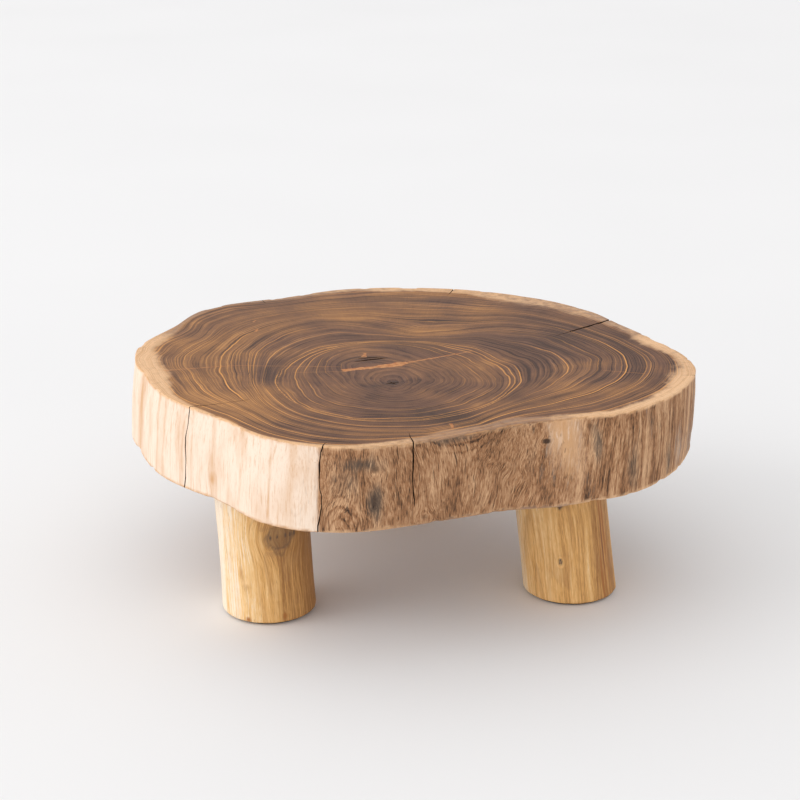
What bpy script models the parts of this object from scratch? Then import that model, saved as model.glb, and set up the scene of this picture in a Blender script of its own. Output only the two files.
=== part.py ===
"""Live-edge cake stand: a round slice of hardwood log on three stubby branch legs.

The slab and each leg meet on a loose fluted dowel that is glued into a blind socket on either
side of the joint, and each leg stands on a thin round pad.

Metres, +Z up.  The origin is on the surface the stand rests on, under the middle of its outline.
The front of the stand faces -Y.
"""

import bpy
import bmesh
import numpy as np
from math import cos, pi, radians, sin

# ---------------------------------------------------------------- driving dimensions (metres)
OBJECT_NAME = "live_edge_cake_stand"
MM = 0.001

GAP = 0.3 * MM                  # clearance between pieces that touch or are glued

PAD_THICKNESS = 1.0 * MM
PAD_INSET = 1.5 * MM            # from the flat of the foot to the rim of the pad

LEG_HEIGHT = 74.0 * MM          # surface to underside of the slab, pad included
LEG_FOOT_CHAMFER = 1.5 * MM
LEG_TOP_CHAMFER = 0.6 * MM
LEG_WAIST = 0.4 * MM            # how much slimmer a branch is half way up

SLAB_THICKNESS = 43.0 * MM
SLAB_EDGE = 1.4 * MM            # eased edge round both faces
SLAB_BELLY = 0.8 * MM           # how far the bark side swells half way up

DOWEL_RADIUS = 8.0 * MM
DOWEL_FLUTE = 0.5 * MM
DOWEL_CHAMFER = 1.5 * MM
SOCKET_DEPTH = 24.0 * MM        # the same in the slab and in the leg
SOCKET_SPARE = 1.0 * MM         # left beyond each end of the dowel for glue

SLAB_SEGMENTS = 120
LEG_SEGMENTS = 40
PAD_SEGMENTS = 48
DOWEL_SEGMENTS = 32

# Polar outline of the slab's top face: degrees from +X, radius in mm.  The log was slightly
# lobed, with one deep hollow at the front right and a horn at the back left.
TOP_OUTLINE = (
    (0, 149.0), (11, 141.0), (27, 135.0), (42, 138.0), (62, 139.5), (88, 141.0), (108, 143.0),
    (122, 140.5), (141, 152.0), (157, 146.0), (171, 150.5), (182, 148.0), (192, 143.0),
    (206, 141.0), (226, 136.5), (242, 145.0), (258, 144.0), (270, 134.0), (284, 123.5),
    (297, 119.0), (309, 126.5), (320, 139.0), (334, 146.5), (350, 152.0),
)

# How much wider the underside is than the top face: degrees from +X, mm.
UNDERSIDE_FLARE = (
    (0, 0.0), (60, 2.0), (120, 1.0), (165, 1.5), (182, 3.5), (212, 4.0), (228, 3.5), (247, 5.0),
    (262, 1.0), (277, 0.0), (290, 3.0), (303, 9.0), (316, 5.0), (338, 0.5), (348, -1.5),
)

# Legs: name, foot centre (x, y), offset of the head from the foot (x, y), radius; all in mm.
LEGS = (
    ("front_left", (-75.5, -64.0), (-3.3, 0.0), 24.8),
    ("front_right", (84.2, -39.5), (-8.5, 1.5), 25.2),
    ("back", (-17.0, 85.5), (1.0, -4.0), 24.8),
)

HEARTWOOD = (0.223, 0.122, 0.080, 1.0)
BRANCH_WOOD = (0.578, 0.352, 0.170, 1.0)
BEECH = (0.640, 0.440, 0.260, 1.0)
PAD_GREY = (0.060, 0.055, 0.050, 1.0)


# ---------------------------------------------------------------- curves and outlines
def periodic_curve(knots, angle):
    """Value at an angle (degrees) of the smooth closed curve through (degrees, value) knots."""
    degrees = np.array([k[0] for k in knots], float)
    values = np.array([k[1] for k in knots], float)
    count = len(knots)
    i = int(np.searchsorted(degrees, angle % 360.0, side="right")) - 1

    def knot(j):
        return degrees[j % count] + 360.0 * (j // count), values[j % count]

    (a0, v0), (a1, v1), (a2, v2), (a3, v3) = (knot(i + k) for k in (-1, 0, 1, 2))
    slope_1 = (v2 - v0) / (a2 - a0)
    slope_2 = (v3 - v1) / (a3 - a1)
    span = a2 - a1
    t = (angle % 360.0 - a1) / span
    return ((2 * t ** 3 - 3 * t ** 2 + 1) * v1 + (t ** 3 - 2 * t ** 2 + t) * span * slope_1
            + (3 * t ** 2 - 2 * t ** 3) * v2 + (t ** 3 - t ** 2) * span * slope_2)


def slab_ring(height_share, inset, z):
    """One closed ring of the slab, from underside (share 0) to top face (share 1)."""
    points = []
    belly = SLAB_BELLY * 4.0 * height_share * (1.0 - height_share)
    for k in range(SLAB_SEGMENTS):
        degrees = 360.0 * k / SLAB_SEGMENTS
        radius = periodic_curve(TOP_OUTLINE, degrees) * MM
        radius += periodic_curve(UNDERSIDE_FLARE, degrees) * MM * (1.0 - height_share)
        radius += belly - inset
        points.append((radius * cos(radians(degrees)), radius * sin(radians(degrees)), z))
    return points


def slab_rings():
    """The slab's rings, underside to top face, and the middle of their outline."""
    underside = LEG_HEIGHT
    levels = [(0.0, SLAB_EDGE, 0.0), (0.0, 0.0, SLAB_EDGE)]
    for share in (0.25, 0.5, 0.75):
        levels.append((share, 0.0, share * SLAB_THICKNESS))
    levels += [(1.0, 0.0, SLAB_THICKNESS - SLAB_EDGE), (1.0, SLAB_EDGE, SLAB_THICKNESS)]
    rings = [slab_ring(share, inset, underside + rise) for share, inset, rise in levels]
    points = np.array(rings).reshape(-1, 3)
    middle = (points.min(axis=0) + points.max(axis=0)) / 2.0
    return rings, middle


def leg_rings(foot, lean, radius, middle):
    """Rings of one branch leg, foot to head.  A leaning leg is still sawn level at both ends."""
    low = PAD_THICKNESS + GAP
    high = LEG_HEIGHT - GAP
    levels = [(low, LEG_FOOT_CHAMFER), (low + LEG_FOOT_CHAMFER, 0.0)]
    for share in (0.3, 0.55, 0.8):
        levels.append((low + share * (high - low), 0.0))
    levels += [(high - LEG_TOP_CHAMFER, 0.0), (high, LEG_TOP_CHAMFER)]
    rings = []
    for z, inset in levels:
        share = (z - low) / (high - low)
        x = (foot[0] + share * lean[0]) * MM - middle[0]
        y = (foot[1] + share * lean[1]) * MM - middle[1]
        r = radius * MM - inset - LEG_WAIST * sin(pi * share)
        turns = [2.0 * pi * k / LEG_SEGMENTS for k in range(LEG_SEGMENTS)]
        rings.append([(x + r * cos(a), y + r * sin(a), z) for a in turns])
    return rings


# ---------------------------------------------------------------- bodies
def make_material(name, colour, roughness):
    material = bpy.data.materials.new(name)
    material.use_nodes = True
    shader = material.node_tree.nodes["Principled BSDF"]
    shader.inputs["Base Color"].default_value = colour
    shader.inputs["Roughness"].default_value = roughness
    shader.inputs["Metallic"].default_value = 0.0
    material.diffuse_color = colour
    return material


def add_object(name, mesh, collection, material=None):
    part = bpy.data.objects.new(name, mesh)
    collection.objects.link(part)
    if material is not None:
        mesh.materials.append(material)
        mesh.shade_smooth()
        mesh.set_sharp_from_angle(angle=radians(35.0))
    return part


def loft(name, rings):
    """A closed body through rings of equal point count, with a flat cap at either end."""
    build = bmesh.new()
    rows = [[build.verts.new(point) for point in ring] for ring in rings]
    count = len(rings[0])
    for lower, upper in zip(rows, rows[1:]):
        for k in range(count):
            n = (k + 1) % count
            build.faces.new((lower[k], lower[n], upper[n], upper[k]))
    build.faces.new(list(reversed(rows[0])))
    build.faces.new(rows[-1])
    bmesh.ops.recalc_face_normals(build, faces=build.faces)
    mesh = bpy.data.meshes.new(name)
    build.to_mesh(mesh)
    build.free()
    return mesh


def cylinder(name, radius, depth, segments):
    build = bmesh.new()
    bmesh.ops.create_cone(build, cap_ends=True, segments=segments, radius1=radius,
                          radius2=radius, depth=depth)
    mesh = bpy.data.meshes.new(name)
    build.to_mesh(mesh)
    build.free()
    return mesh


def dowel_mesh(name, length):
    """A fluted pin: every second line along its side is sunk, and both ends are chamfered."""
    levels = [(-length / 2, DOWEL_CHAMFER), (-length / 2 + DOWEL_CHAMFER, 0.0),
              (length / 2 - DOWEL_CHAMFER, 0.0), (length / 2, DOWEL_CHAMFER)]
    rings = []
    for z, inset in levels:
        ring = []
        for k in range(DOWEL_SEGMENTS):
            r = DOWEL_RADIUS - inset - (DOWEL_FLUTE if k % 2 else 0.0)
            a = 2.0 * pi * k / DOWEL_SEGMENTS
            ring.append((r * cos(a), r * sin(a), z))
        rings.append(ring)
    return loft(name, rings)


def socket_cutter(name, x, y, cutters):
    """The drill for one joint: as deep in the leg's head as in the slab's underside."""
    mesh = cylinder(name, DOWEL_RADIUS + GAP, 2.0 * SOCKET_DEPTH, DOWEL_SEGMENTS)
    cutter = add_object(name, mesh, cutters)
    cutter.location = (x, y, LEG_HEIGHT)
    cutter.hide_render = True
    cutter.display_type = "WIRE"
    return cutter


def cut(part, cutter):
    drill = part.modifiers.new("socket_" + cutter.name, "BOOLEAN")
    drill.operation = "DIFFERENCE"
    drill.solver = "EXACT"
    drill.object = cutter


# ---------------------------------------------------------------- the stand
def build_stand():
    for old in list(bpy.data.objects):
        bpy.data.objects.remove(old, do_unlink=True)
    parts = bpy.data.collections.new(OBJECT_NAME)
    cutters = bpy.data.collections.new("cutters")
    bpy.context.scene.collection.children.link(parts)
    bpy.context.scene.collection.children.link(cutters)

    rings, middle = slab_rings()
    slab = add_object("slab", loft("slab", rings), parts,
                      make_material("slab_wood", HEARTWOOD, 0.5))

    for name, foot, lean, radius in LEGS:
        leg = add_object("leg_" + name, loft("leg_" + name, leg_rings(foot, lean, radius, middle)),
                         parts, make_material("leg_wood_" + name, BRANCH_WOOD, 0.5))

        head_x = (foot[0] + lean[0]) * MM - middle[0]
        head_y = (foot[1] + lean[1]) * MM - middle[1]
        cutter = socket_cutter("drill_" + name, head_x, head_y, cutters)
        cut(leg, cutter)
        cut(slab, cutter)

        dowel_length = 2.0 * (SOCKET_DEPTH - SOCKET_SPARE)
        dowel = add_object("dowel_" + name, dowel_mesh("dowel_" + name, dowel_length), parts,
                           make_material("dowel_beech_" + name, BEECH, 0.6))
        dowel.location = (head_x, head_y, LEG_HEIGHT)

        pad_radius = radius * MM - LEG_FOOT_CHAMFER - PAD_INSET
        pad_mesh = cylinder("foot_pad_" + name, pad_radius, PAD_THICKNESS, PAD_SEGMENTS)
        pad = add_object("foot_pad_" + name, pad_mesh, parts,
                         make_material("pad_felt_" + name, PAD_GREY, 0.9))
        pad.location = (foot[0] * MM - middle[0], foot[1] * MM - middle[1], PAD_THICKNESS / 2)


build_stand()
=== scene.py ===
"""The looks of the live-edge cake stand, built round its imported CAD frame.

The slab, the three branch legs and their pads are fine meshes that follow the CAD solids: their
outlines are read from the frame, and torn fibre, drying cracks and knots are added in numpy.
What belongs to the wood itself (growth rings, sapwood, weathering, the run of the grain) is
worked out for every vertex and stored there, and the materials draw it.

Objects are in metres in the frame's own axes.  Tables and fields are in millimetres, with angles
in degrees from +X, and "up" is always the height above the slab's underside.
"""

from math import cos, pi, radians, sin, tau

import bpy
import numpy as np
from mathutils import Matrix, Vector
from mathutils.bvhtree import BVHTree


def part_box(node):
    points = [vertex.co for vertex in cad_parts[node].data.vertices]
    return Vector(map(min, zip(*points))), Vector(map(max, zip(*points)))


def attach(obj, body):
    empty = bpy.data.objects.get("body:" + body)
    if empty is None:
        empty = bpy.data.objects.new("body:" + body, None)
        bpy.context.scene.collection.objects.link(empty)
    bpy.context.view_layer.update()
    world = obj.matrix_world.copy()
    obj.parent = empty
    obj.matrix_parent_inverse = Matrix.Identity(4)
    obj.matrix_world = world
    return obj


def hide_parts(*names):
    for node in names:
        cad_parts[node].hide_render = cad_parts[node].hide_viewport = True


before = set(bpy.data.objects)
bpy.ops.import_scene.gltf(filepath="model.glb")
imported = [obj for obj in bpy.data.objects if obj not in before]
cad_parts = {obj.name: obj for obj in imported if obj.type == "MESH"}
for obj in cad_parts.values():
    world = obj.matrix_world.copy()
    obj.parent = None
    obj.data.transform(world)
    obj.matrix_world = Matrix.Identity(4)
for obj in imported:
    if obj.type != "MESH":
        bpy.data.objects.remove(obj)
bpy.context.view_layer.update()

MM = 0.001
BODY = "root"
LEG_NAMES = ("front_left", "front_right", "back")
SOCKET_GAP = 0.3 * MM           # between a dowel and the wall of its sockets
SOCKET_SPARE = 1.0 * MM         # between either end of a dowel and the end of its socket

# -------------------- the log's growth rings
PITH = np.array([-9.2, -43.7])  # the heart of the log, in plan

# Guide rings: degrees round the pith, distance from it.
CORE_RING = (
    (17, 30), (35, 33), (59, 42), (75, 55), (93, 65), (108, 65), (125, 59),
    (140, 49), (165, 35), (187, 29.5), (230, 25), (278, 31), (332, 24.5),
)
OVAL_CENTRE = np.array([-8.8, -35.2])
OVAL_SIZE = np.array([61.0, 67.0])
LOBED_RING = (
    (5, 104.5), (21, 122), (40, 127), (58, 117.5), (70, 98), (82, 89.5), (95, 100),
    (113, 116), (134, 102), (166, 79), (195, 73), (232, 74.5), (266, 75),
    (292, 77), (316, 70), (335, 75),
)
RINGS_TO_CORE = 4.0
RINGS_TO_OVAL = 9.0
RINGS_TO_LOBED = 16.0
RINGS_IN_ALL = 27.0
GUIDE_GAP = 5.0                 # the least distance from one guide ring to the next
OUTER_GAP = 12.0                # and from the lobed ring to the rim

# -------------------- the slab's rim
WORN = (                    # from pale sound sapwood (0) to weathered brown fibre (1)
    (0, 0.62), (20, 0.62), (50, 0.75), (85, 0.55), (115, 0.70), (140, 0.35), (158, 0.25),
    (174, 0.02), (196, 0.05), (240, 0.02), (251, 0.16), (253.4, 0.90), (262, 1), (285, 0.95),
    (305, 0.88), (330, 0.90), (345, 0.72),
)
PALE_PATCHES = (            # degrees, up, half-width, half-height, how much less weathered
    (307, 36, 9, 24, 0.66), (279, 31, 12, 5, 0.14), (326, 30, 4, 20, 0.20),
    (338, 10, 6, 16, 0.25), (60, 20, 10, 20, 0.35), (120, 30, 9, 18, 0.3),
)
ROUGH = (                   # from smooth (0) to deeply torn (1)
    (0, 0.5), (40, 0.7), (85, 0.5), (115, 0.65), (150, 0.25), (175, 0.08), (240, 0.10),
    (251, 0.25), (254, 0.9), (298, 1), (302, 0.5), (330, 0.75), (350, 0.5),
)
CURL = (                    # from straight fibre (0) to interlocked (1)
    (0, 0.1), (60, 0.5), (120, 0.3), (180, 0.1), (248, 0.2), (256, 1), (296, 1), (305, 0.15),
    (345, 0.1),
)
SLANT = (                   # sideways run of the fibre for each mm that it climbs
    (0, -0.05), (60, 0.1), (180, 0), (250, -0.04), (256, 0.05), (275, -0.08), (290, 0.30),
    (300, 0.22), (320, 0.16), (340, 0.08),
)
TAN_BANDS = (               # degrees, half-width in degrees, strength
    (169, 1.1, 0.8), (191.5, 1.8, 0.8), (204.6, 0.45, 0.6), (207.6, 0.4, 0.45),
    (214.4, 0.3, 0.5), (217.6, 0.25, 0.5), (224.4, 0.7, 0.4), (234, 0.2, 0.4),
    (242.2, 0.18, 0.6), (247, 0.8, 0.3), (306.5, 6, 0.90), (20, 2, 0.8),
    (100, 1.5, 0.6), (150, 2, 0.7),
)
TAN_SPOTS = (               # degrees, up, half-width, half-height, strength
    (224.5, 11, 2.4, 4.2, 1), (224.3, 20, 1.5, 8, 0.6), (250, 30, 5, 10, 0.35),
    (246, 12, 5, 10, 0.25), (232, 39, 6, 4, 0.3), (213, 30, 2, 12, 0.3),
)
SIDE_KNOTS = (              # degrees, up, half-width, half-height, darkness (0: the fibre only parts)
    (224.5, 11, 2.6, 4.4, 0), (262.8, 31.5, 3, 3, 0.7), (262.6, 15, 2.2, 8, 0.65),
    (302.3, 33, 2.6, 1.3, 1.2), (299.5, 39, 1, 3.4, 0.8),
    (272.5, 4, 3, 2.6, 0.6), (283, 55, 9, 9, 0), (258, 7, 6, 7, 0),
    (288, 26, 2.4, 1.8, 0.45), (291.5, 21, 2.2, 2.6, 0.5), (294.5, 15.5, 2.6, 2, 0.5),
    (297, 24, 1.6, 2.8, 0.45), (75, 22, 4, 6, 0.8), (130, 12, 2.5, 3.5, 0.7),
)
GREY_PATCHES = (            # degrees, up, half-width, half-height, strength
    (259.3, 34, 12, 4.4, 0.9), (262.6, 15, 4.6, 10.5, 1), (280, 41.5, 17, 2.6, 0.8),
    (257.6, 28, 9, 11, 0.6), (313.5, 30, 3, 16, 0.75), (321, 14, 5, 16, 0.65),
    (298, 22, 4, 9, 0.4), (45, 24, 22, 12, 0.7), (95, 10, 16, 8, 0.6),
    (333, 10, 3, 14, 0.7), (327, 34, 2.5, 9, 0.6),
)
SIDE_ARCHES = (             # degrees, up, half-width, half-height of nested arches in the fibre
    (256.2, -6, 9, 21), (281, 52, 24, 15), (248, 22, 5, 16),
    (20, 50, 16, 18), (110, -4, 12, 20),
)
SAPWOOD_WIDTH = (           # mm in from the rim
    (0, 8), (13, 10), (20, 8), (34, 11), (55, 15), (75, 11), (95, 8), (120, 5),
    (155, 4.5), (170, 10), (185, 14), (198, 11), (212, 4), (222, 1.5), (250, 2),
    (268, 6), (285, 9), (303, 9), (325, 10), (342, 12),
)
SAPWOOD_GREY = (            # how grey the sapwood is on the two faces
    (0, 0.3), (8, 0.2), (13.5, 0), (20, 0.6), (45, 0.6), (65, 0.45), (85, 0.35), (100, 0.4),
    (120, 0.8), (155, 0.9), (168, 0.2), (185, 0.05), (200, 0.15), (215, 0.3), (250, 0.3),
    (268, 0.5), (278, 1), (298, 1), (312, 0.25), (335, 0.05),
)
# Drying cracks: degrees, how far in they run at the underside, half way up and at the top face,
# and their width at the rim.  One with a run below 0 doesn't reach that height.
CRACKS = (
    (216.2, (4, 6, 36), 0.6), (252.6, (4, 5, 6), 0.6), (270, (-3, 4, 15), 0.55),
    (32.8, (2, 12, 50), 2.3), (79.5, (-3, 3, 18), 0.55), (128, (6, 6, 8), 0.7),
    (5, (7, 5, -3), 0.6), (349, (-4, 2, 9), 0.35),
)
HEART_SLITS = (             # start, end, greatest width and depth of small openings in the top
    ((-31, -7), (-12, 0.5), 1.9, 2), ((-29, -1.5), (-15.5, 1.5), 1.5, 1.6),
    ((-13.5, -44.2), (-6.5, -42.6), 1.2, 1.2),
    ((-11.5, -41), (-8, -46), 0.8, 0.8),
)

# -------------------- marks on the two faces
FACE_STAINS = (             # x, y, half-width, half-height, darkness
    (-9.2, -43.7, 4, 3, 0.8), (-20, -47.5, 8, 4, 0.5), (11, -92, 12, 8, 0.7),
    (-23, -2, 11, 4.5, 0.5), (17, -103, 8, 5, 0.35), (72, 30, 26, 18, 0.28),
    (-2, 24, 22, 8, 0.25), (5, 111, 30, 7, 0.28), (-76, -22, 9, 22, 0.30),
    (88, -10, 20, 30, 0.15), (60, -74, 10, 14, 0.2),
)
GOLD_ELSEWHERE = 0.44       # how golden the heartwood is outside its golden zones
GOLD_ZONES = (              # x, y, half-width, half-height, gain
    (-95, -75, 38, 34, 0.30), (96, -58, 30, 18, 0.16),
    (-15, 85, 80, 24, 0.24), (16, 50, 26, 8, 0.35),
    (30, -104, 30, 8, -0.22), (20, 128, 60, 10, 0.30),
    (-108, 10, 34, 60, 0.28), (30, -15, 14, 30, 0.10),
    (-10, -96, 30, 9, -0.22), (75, 30, 32, 24, -0.22),
    (-76, -15, 10, 26, -0.20), (120, 15, 12, 40, -0.10),
)
# Old cracks filled with gum and pale hairlines: start, end, half-width at each end, strength.
FILLED_CHECKS = (
    ((-36.5, -22), (-15.5, -15), 2, 1.5, 1), ((-17, -15.5), (-6, -11), 2.2, 3.6, 1),
    ((-8, -11.8), (-2, -8.5), 3.4, 1.6, 0.9), ((-4, -9.6), (33, 12), 0.9, 0.35, 0.75),
    ((-38, -15.6), (-97, -13.4), 0.30, 0.35, 0.40),
    ((-95, -13.3), (-131, -22.5), 0.35, 0.60, 0.50),
    ((-36, -24), (-62, -25.4), 0.40, 0.25, 0.35),
    ((18.8, -106.5), (19.6, -113.5), 0.8, 0.5, 0.8), ((-87, 49), (-86.2, 54), 0.7, 0.4, 0.9),
    ((-89.5, 67.5), (-88.5, 71), 0.6, 0.3, 0.7), ((-25.5, 1.5), (-25, 8.5), 1.1, 0.6, 0.8),
    ((101, -22), (123, -27.5), 0.25, 0.25, 0.5),
)

# -------------------- the legs
# Knots: degrees round the leg, height, half-width, half-height, darkness.
LEG_KNOTS = {
    "front_left": ((-66, 48.6, 7, 6, 0.50), (60, 30, 3, 4, 0.8),
                   (170, 52, 2.5, 3.5, 0.7)),
    "front_right": ((-100, 25, 0.9, 1.3, 0.8),
                    (40, 40, 4, 5, 0.7), (140, 22, 2, 3, 0.8)),
    "back": ((-60, 36, 2.5, 3.5, 0.7), (85, 50, 5, 6.5, 0.6), (200, 24, 2, 3, 0.8)),
}
LEG_TICKS = {               # small dark slits: degrees, height, half-width, half-height, darkness
    "front_left": ((-77.7, 48.6, 0.8, 1.5, 1.5), (-69.2, 48.8, 0.6, 1.3, 1.4),
                   (-58.3, 49, 0.8, 1.4, 1.5), (-52, 48.8, 0.7, 1.5, 1.5),
                   (-45.6, 49.2, 0.8, 1.5, 1.5)),
    "front_right": ((-94, 57.2, 2.6, 1.4, 1.5), (-94, 55.8, 1.4, 0.8, 1.5),
                    (-94.5, 54.9, 0.7, 0.8, 1.3)),
    "back": (),
}
LEG_STAINS = {              # degrees round the leg, height, half-width, half-height, strength
    "front_left": ((-112, 3, 1.8, 1.8, 0.75), (-66, 5, 1.5, 2.4, 0.75),
                   (-118, 28, 1.6, 8, 0.4), (-112, 21, 4, 3, 0.35)),
    "front_right": ((-39.5, 32, 0.7, 30, 1.3), (-34, 40, 1.2, 22, 0.9),
                    (-45, 14, 0.9, 18, 0.9), (-29, 20, 0.9, 20, 0.6),
                    (-124, 40, 1.2, 20, 0.35)),
    "back": ((-100, 20, 2, 18, 0.5),),
}
# How brown each leg is in front, and how much painted shade darkens its right flank and painted light
# pales its left.
LEG_TONE_AND_FLANK_SHADE = {"front_left": (0.43, 0.47), "front_right": (0.52, 0.27), "back": (0.5, 0.2)}


# -------------------- smooth noise on arrays of points
def lattice_value(ix, iy, iz, seed):
    mixed = (ix * 374761393 + iy * 668265263 + iz * 1440662683 + seed * 974634777) & 0xFFFFFFFF
    mixed = ((mixed ^ (mixed >> 13)) * 1274126177) & 0xFFFFFFFF
    return (mixed ^ (mixed >> 16)) / 0xFFFFFFFF


def value_noise(points, seed):
    """Smooth noise from -1 to 1 at rows of x, y, z."""
    cell = np.floor(points).astype(np.int64)
    part = points - cell
    part = part * part * (3.0 - 2.0 * part)
    total = np.zeros(len(points))
    for corner in np.ndindex(2, 2, 2):
        weight = np.prod(np.abs(1 - np.array(corner) - part), axis=1)
        total += weight * lattice_value(*(cell + corner).T, seed)
    return total * 2.0 - 1.0


def fractal(points, cell_size, octaves, seed):
    """Layered noise, about -1 to 1, with features of the given size."""
    scaled = np.asarray(points, float) / cell_size
    total, whole = 0.0, 0.0
    for octave in range(octaves):
        weight = 0.5 ** octave
        total = total + weight * value_noise(scaled * 2.0 ** octave + 17.3 * octave, seed + octave)
        whole += weight
    return np.clip(total / whole * 1.6, -1.0, 1.0)


def smoothstep(low, high, x):
    t = np.clip((x - low) / (high - low), 0.0, 1.0)
    return t * t * (3.0 - 2.0 * t)


def bell(u, v):
    return np.exp(-u * u - v * v)


def around(knots, degrees):
    """Value at each angle of the smooth closed curve through (degrees, value) knots."""
    places, values = np.array(knots, float).T
    places = np.concatenate([places[-2:] - 360.0, places, places[:3] + 360.0])
    values = np.concatenate([values[-2:], values, values[:3]])
    slopes = np.zeros(len(values))
    slopes[1:-1] = (values[2:] - values[:-2]) / (places[2:] - places[:-2])
    turned = np.mod(degrees, 360.0)
    i = np.clip(np.searchsorted(places, turned, side="right") - 1, 1, len(places) - 3)
    span = places[i + 1] - places[i]
    t = (turned - places[i]) / span
    return ((2 * t ** 3 - 3 * t ** 2 + 1) * values[i] + (t ** 3 - 2 * t ** 2 + t) * span * slopes[i]
            + (3 * t ** 2 - 2 * t ** 3) * values[i + 1] + (t ** 3 - t ** 2) * span * slopes[i + 1])


def polar(flat):
    """Direction of each point from the origin, in degrees, and how far away it is."""
    x, y = flat[:, 0], flat[:, 1]
    return np.degrees(np.arctan2(y, x)), np.hypot(x, y)


def heading(turns):
    """A step of length 1, in plan, along each of the turns, which are in radians."""
    return np.stack([np.cos(turns), np.sin(turns)], axis=-1)


def turn_between(degrees, centre):
    """Signed angle from centre to each of degrees, from -180 to 180."""
    return np.mod(degrees - centre + 180.0, 360.0) - 180.0


def ring_mean(values, reach):
    """Each value round a closed ring, averaged with its neighbours."""
    steps = range(-reach, reach + 1)
    weights = [cos(pi * s / (2.0 * (reach + 1))) ** 2 for s in steps]
    total = sum(w * np.roll(values, s, axis=-1) for s, w in zip(steps, weights))
    return total / sum(weights)


def in_patch(degrees, up, reach, row):
    """How far points, reach away from an upright axis, lie from a patch's middle, sideways and
    upwards, in its half-widths and half-heights."""
    centre, height, half_width, half_height = row[:4]
    across = np.radians(turn_between(degrees, centre)) * reach
    return across / half_width, (up - height) / half_height


def patches(degrees, up, reach, rows):
    """Strongest of several soft round patches."""
    return np.max([row[4] * bell(*in_patch(degrees, up, reach, row)) for row in rows], axis=0)


def parting(degrees, up, reach, knots):
    """How far the grain is pushed sideways as it parts round the knots."""
    slide = np.zeros(len(degrees))
    for row in knots:
        u, v = in_patch(degrees, up, reach, row)
        slide -= 0.8 * u * row[2] * np.exp(-0.35 * (u * u + v * v))
    return slide


# -------------------- reading the CAD solids
RAY_START = 0.4                 # metres out from an axis, outside every solid
MARGIN = 2 * MM                 # a solid's outside isn't measured nearer than this to its ends


def cad_tree(node):
    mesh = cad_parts[node].data
    return BVHTree.FromPolygons([v.co for v in mesh.vertices],
                                [p.vertices for p in mesh.polygons])


def outside_reach(tree, centre, angles, z):
    """How far from an upright axis the solid's outside lies, in each direction, at one height."""
    reach = []
    for a in angles:
        out = Vector((cos(a), sin(a), 0.0))
        start = Vector((centre[0], centre[1], z)) + out * RAY_START
        reach.append(RAY_START - tree.ray_cast(start, -out)[3])
    return np.array(reach)


def round_section(tree, guess, z):
    """Centre and radius of the circle that a leg's outside makes at one height."""
    angles = np.linspace(0.0, tau, 24, endpoint=False)
    x, y, _ = circle(guess, outside_reach(tree, guess, angles, z), z, angles).T
    rows = np.stack([x, y, np.ones_like(x)], axis=1)
    a, b, c = np.linalg.lstsq(rows, x * x + y * y, rcond=None)[0]
    centre = np.array([a / 2.0, b / 2.0])
    return centre, (c + centre @ centre) ** 0.5


# -------------------- meshes
def new_mesh(name, points, faces, material_slots=1, face_slot=0):
    mesh = bpy.data.meshes.new(name)
    mesh.from_pydata(np.asarray(points).tolist(), [], faces)
    for _ in range(material_slots):
        mesh.materials.append(None)
    mesh.polygons.foreach_set("material_index", [face_slot] * len(faces))
    mesh.update()
    return mesh


def add_object(name, data):
    made = bpy.data.objects.new(name, data)
    bpy.context.scene.collection.objects.link(made)
    return made


def add_piece(name, mesh, node, materials, sharp_degrees=38.0):
    """Shows a mesh as a piece that stands for one CAD node."""
    piece = add_object(name, mesh)
    for i, material in enumerate(materials):
        mesh.materials[i] = material
    mesh.shade_smooth()
    mesh.set_sharp_from_angle(angle=radians(sharp_degrees))
    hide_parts(node)
    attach(piece, BODY)


def lift(flat, z):
    """Points in plan, carried to one height."""
    return np.column_stack([flat, np.full(len(flat), z)])


def circle(centre, reach, z, turns):
    """A level ring of points, reach from centre."""
    x = centre[0] + reach * np.cos(turns)
    y = centre[1] + reach * np.sin(turns)
    return lift(np.column_stack([x, y]), z)


def strip(lower, upper):
    """Quads between two closed rows of point numbers."""
    count = len(lower)
    return [(lower[k], lower[(k + 1) % count], upper[(k + 1) % count], upper[k])
            for k in range(count)]


def halving_strip(outer, inner):
    """Triangles between a closed row and one with half as many points."""
    faces = []
    count = len(outer)
    for k in range(len(inner)):
        a, b, c = outer[2 * k], outer[2 * k + 1], outer[(2 * k + 2) % count]
        d, e = inner[k], inner[(k + 1) % len(inner)]
        faces += [(a, b, d), (b, e, d), (b, c, e)]
    return faces


def wall(rows):
    """Points of closed rows, and the quads between each row and the next."""
    count = len(rows[0])
    faces = []
    for start in range(0, (len(rows) - 1) * count, count):
        lower = range(start, start + count)
        faces += strip(lower, range(start + count, start + 2 * count))
    return [p for row in rows for p in row], faces


def lathe(rows):
    """Points and faces of a closed body through closed rows, with a fan at either end."""
    count = len(rows[0])
    points, faces = wall(rows)
    for row, start, flip in ((rows[0], 0, True), (rows[-1], len(points) - count, False)):
        points.append(np.mean(row, axis=0))
        for k in range(count):
            face = (start + k, start + (k + 1) % count, len(points) - 1)
            faces.append(tuple(reversed(face)) if flip else face)
    return np.array(points), faces


def store(mesh, **fields):
    """Saves a number or a vector for each vertex, for the materials to read."""
    for name, values in fields.items():
        values = np.asarray(values, np.float32)
        is_vector = values.ndim == 2
        attribute = mesh.attributes.new(name, "FLOAT_VECTOR" if is_vector else "FLOAT", "POINT")
        attribute.data.foreach_set("vector" if is_vector else "value", values.ravel())


# -------------------- node graphs
def formula(operation):
    """A method of Value that adds one maths node."""
    def apply(self, other=None):
        return self.graph.math(operation, self, other)
    return apply


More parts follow.
